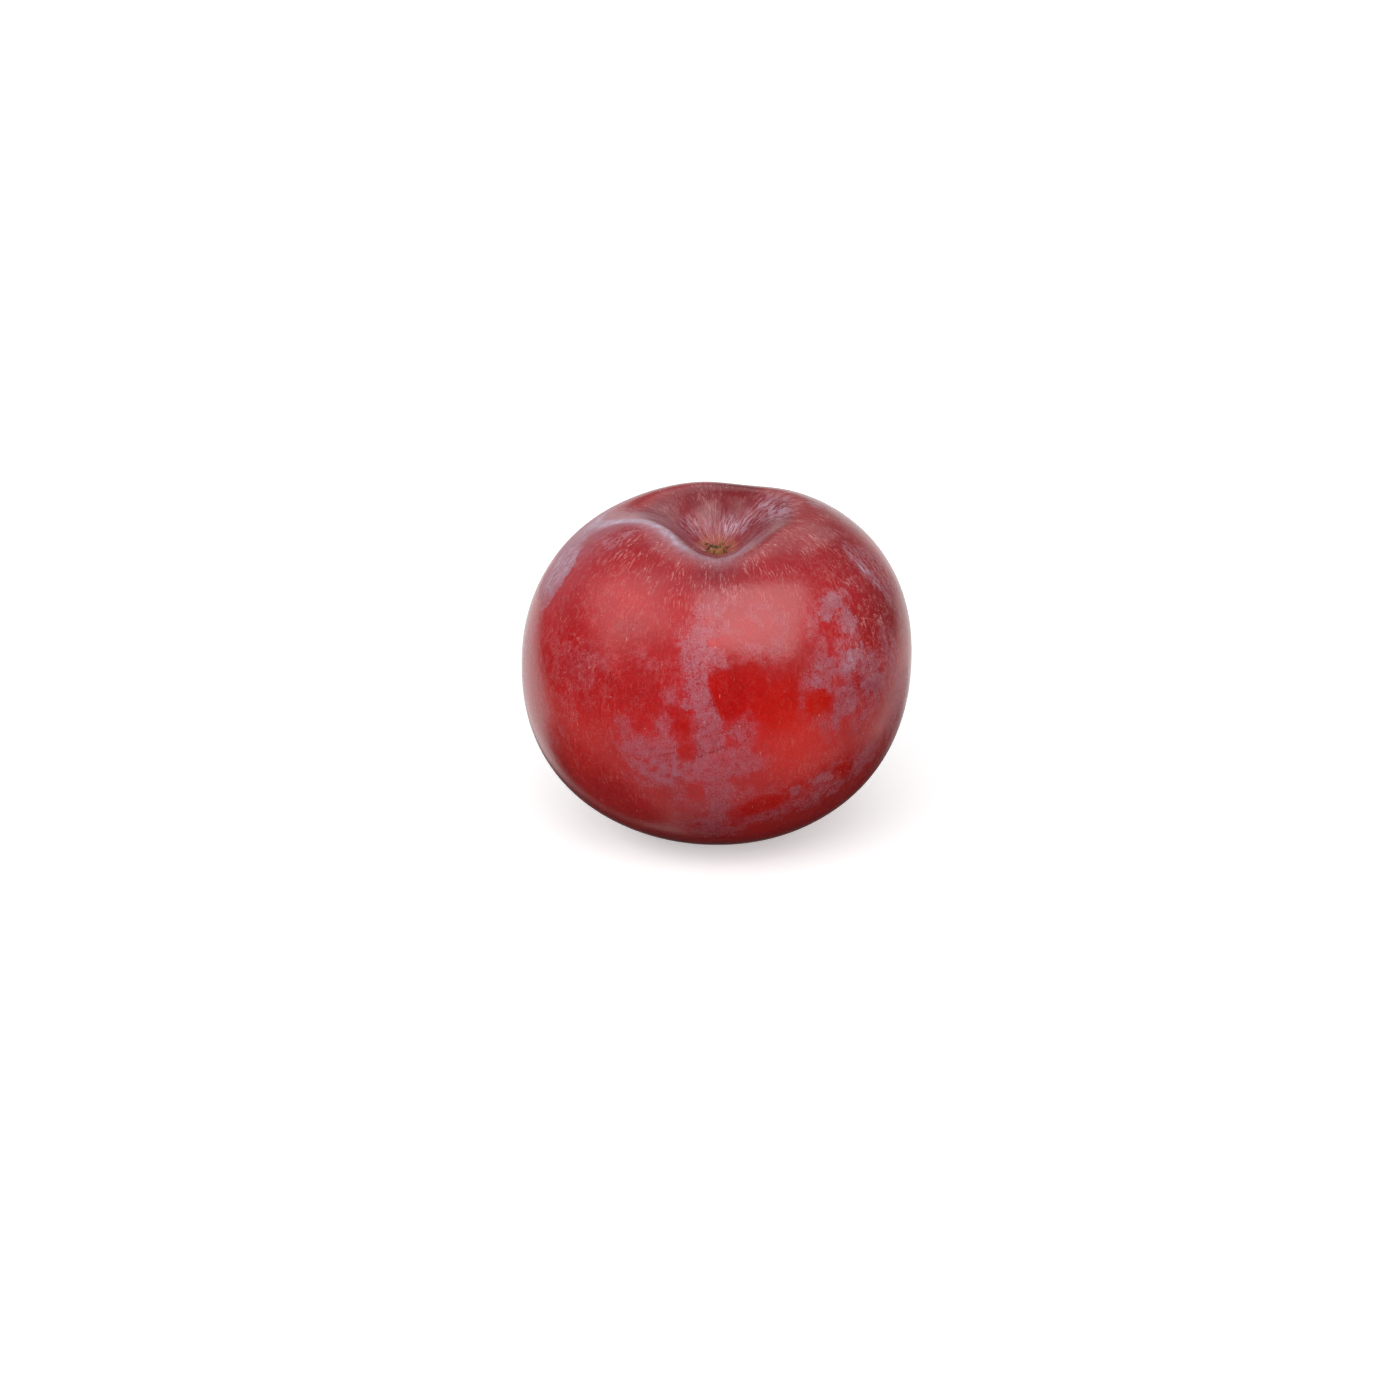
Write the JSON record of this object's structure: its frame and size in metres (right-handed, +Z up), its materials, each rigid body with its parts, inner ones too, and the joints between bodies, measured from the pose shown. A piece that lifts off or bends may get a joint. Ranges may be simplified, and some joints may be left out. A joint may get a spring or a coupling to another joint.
{
  "type": "plum",
  "caption": "Whole ripe dessert plum without its stalk: round red body, stem cavity with a corky scar, fine suture, and a small flat spot at the base.",
  "frame": {"origin": "under the fruit's axis, at the level of the flat spot it rests on", "axes": "+Z up the fruit's axis from blossom end to stem end, +X across the cheeks, -Y towards the suture"},
  "size_m": [0.064, 0.062, 0.056],
  "materials": {
    "plum_skin": "thin red skin, softly glossy, with a patchy waxy lilac-grey bloom and small pale dots"
  },
  "bodies": {
    "root": {"plum": "plum_skin"}
  },
  "joints": []
}
